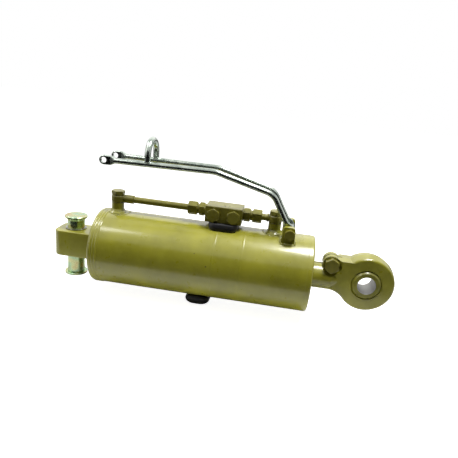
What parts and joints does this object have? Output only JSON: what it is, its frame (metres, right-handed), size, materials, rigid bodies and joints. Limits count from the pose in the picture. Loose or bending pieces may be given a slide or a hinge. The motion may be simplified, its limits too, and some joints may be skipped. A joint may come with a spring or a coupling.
{
  "type": "hydraulic top link",
  "caption": "Hydraulic tractor top link: welded cylinder with a pinned knuckle, a clamped forged ball eye, steel pipes to a lock valve on top, and a folding two-bar handle with a rope loop.",
  "frame": {"origin": "where the knuckle pin's axis crosses the barrel's axis", "axes": "+X along the barrel from the knuckle pin to the ball eye, +Z along the knuckle pin toward its head and the pipework"},
  "size_m": [0.6376, 0.1418, 0.2985],
  "materials": {
    "olive_paint": "gloss olive-green paint over steel",
    "yellow_chromate": "zinc plated and yellow passivated steel",
    "bright_zinc": "bright zinc plated steel",
    "bare_steel": "bare machined steel",
    "ball_steel": "ground bearing steel",
    "chromed_rod": "hard chromed and polished",
    "bronze": "bearing bronze",
    "black_rubber": "black moulded rubber",
    "seal_rubber": "black nitrile and polyurethane seals",
    "guide_plastic": "filled resin guide rings"
  },
  "bodies": {
    "barrel": {"barrel_tube": "olive_paint", "rear_cap": "olive_paint", "knuckle_block": "olive_paint", "knuckle_bush": "bronze", "gland": "olive_paint", "gland_guide_ring": "guide_plastic", "rod_seal": "seal_rubber", "rod_wiper": "seal_rubber", "gland_oring": "seal_rubber", "rear_port_boss": "olive_paint", "front_port_boss": "olive_paint", "banjo_bolts": "olive_paint", "sealing_washers": "olive_paint", "rear_banjo": "olive_paint", "front_banjo": "olive_paint", "male_connectors": "olive_paint", "pipe_nuts": "olive_paint", "cutting_rings": "bare_steel", "rear_pipe": "olive_paint", "front_pipe": "olive_paint", "valve_block": "olive_paint", "port_plugs": "olive_paint", "valve_top_plug": "bare_steel", "valve_pad": "black_rubber", "rubber_buffer": "black_rubber", "handle_lug_front": "olive_paint", "handle_lug_back": "olive_paint", "handle_pivot_bolt": "olive_paint"},
    "rod": {"piston_rod": "chromed_rod", "piston": "bare_steel", "piston_seal": "seal_rubber", "piston_guide_rings": "guide_plastic", "piston_nut": "bare_steel", "rod_eye": "olive_paint", "clamp_bolt": "olive_paint", "clamp_washer": "olive_paint"},
    "ball": {"eye_ball": "ball_steel"},
    "knuckle_pin": {"knuckle_pin": "yellow_chromate", "pin_end_washer": "yellow_chromate", "pin_end_screw": "bright_zinc", "pin_retaining_rings": "bare_steel"},
    "handle": {"handle_bar_front": "bright_zinc", "handle_bar_back": "bright_zinc", "rope_loop": "bright_zinc", "handle_spacer": "bright_zinc", "handle_washers": "bright_zinc"},
    "pilot": {"pilot_piston": "bare_steel"},
    "rear_check": {"rear_poppet": "bare_steel", "rear_poppet_spring": "bare_steel"},
    "front_check": {"front_poppet": "bare_steel", "front_poppet_spring": "bare_steel"}
  },
  "joints": [
    {"name": "rod_slide", "type": "slide", "parent": "barrel", "child": "rod", "axis": [1, 0, 0], "range_m": [0, 0.23]},
    {"name": "ball_swivel", "type": "hinge", "parent": "rod", "child": "ball", "pos_m": [0.5523, 0, 0], "axis": [0, 0, 1], "range_deg": [-12, 12]},
    {"name": "knuckle_turn", "type": "hinge", "parent": "barrel", "child": "knuckle_pin", "pos_m": [0, 0, 0], "axis": [0, 0, 1], "continuous": true},
    {"name": "handle_lift", "type": "hinge", "parent": "barrel", "child": "handle", "pos_m": [0.4052, 0, 0.0793], "axis": [0, 1, 0], "range_deg": [-14, 120]},
    {"name": "pilot_slide", "type": "slide", "parent": "barrel", "child": "pilot", "axis": [1, 0, 0], "range_m": [-0.0025, 0.0025]},
    {"name": "rear_check_lift", "type": "slide", "parent": "barrel", "child": "rear_check", "axis": [-1, 0, 0], "range_m": [0, 0.0025], "stiffness_N_per_m": 800, "springref_m": -0.004},
    {"name": "front_check_lift", "type": "slide", "parent": "barrel", "child": "front_check", "axis": [1, 0, 0], "range_m": [0, 0.0025], "stiffness_N_per_m": 800, "springref_m": -0.004}
  ]
}
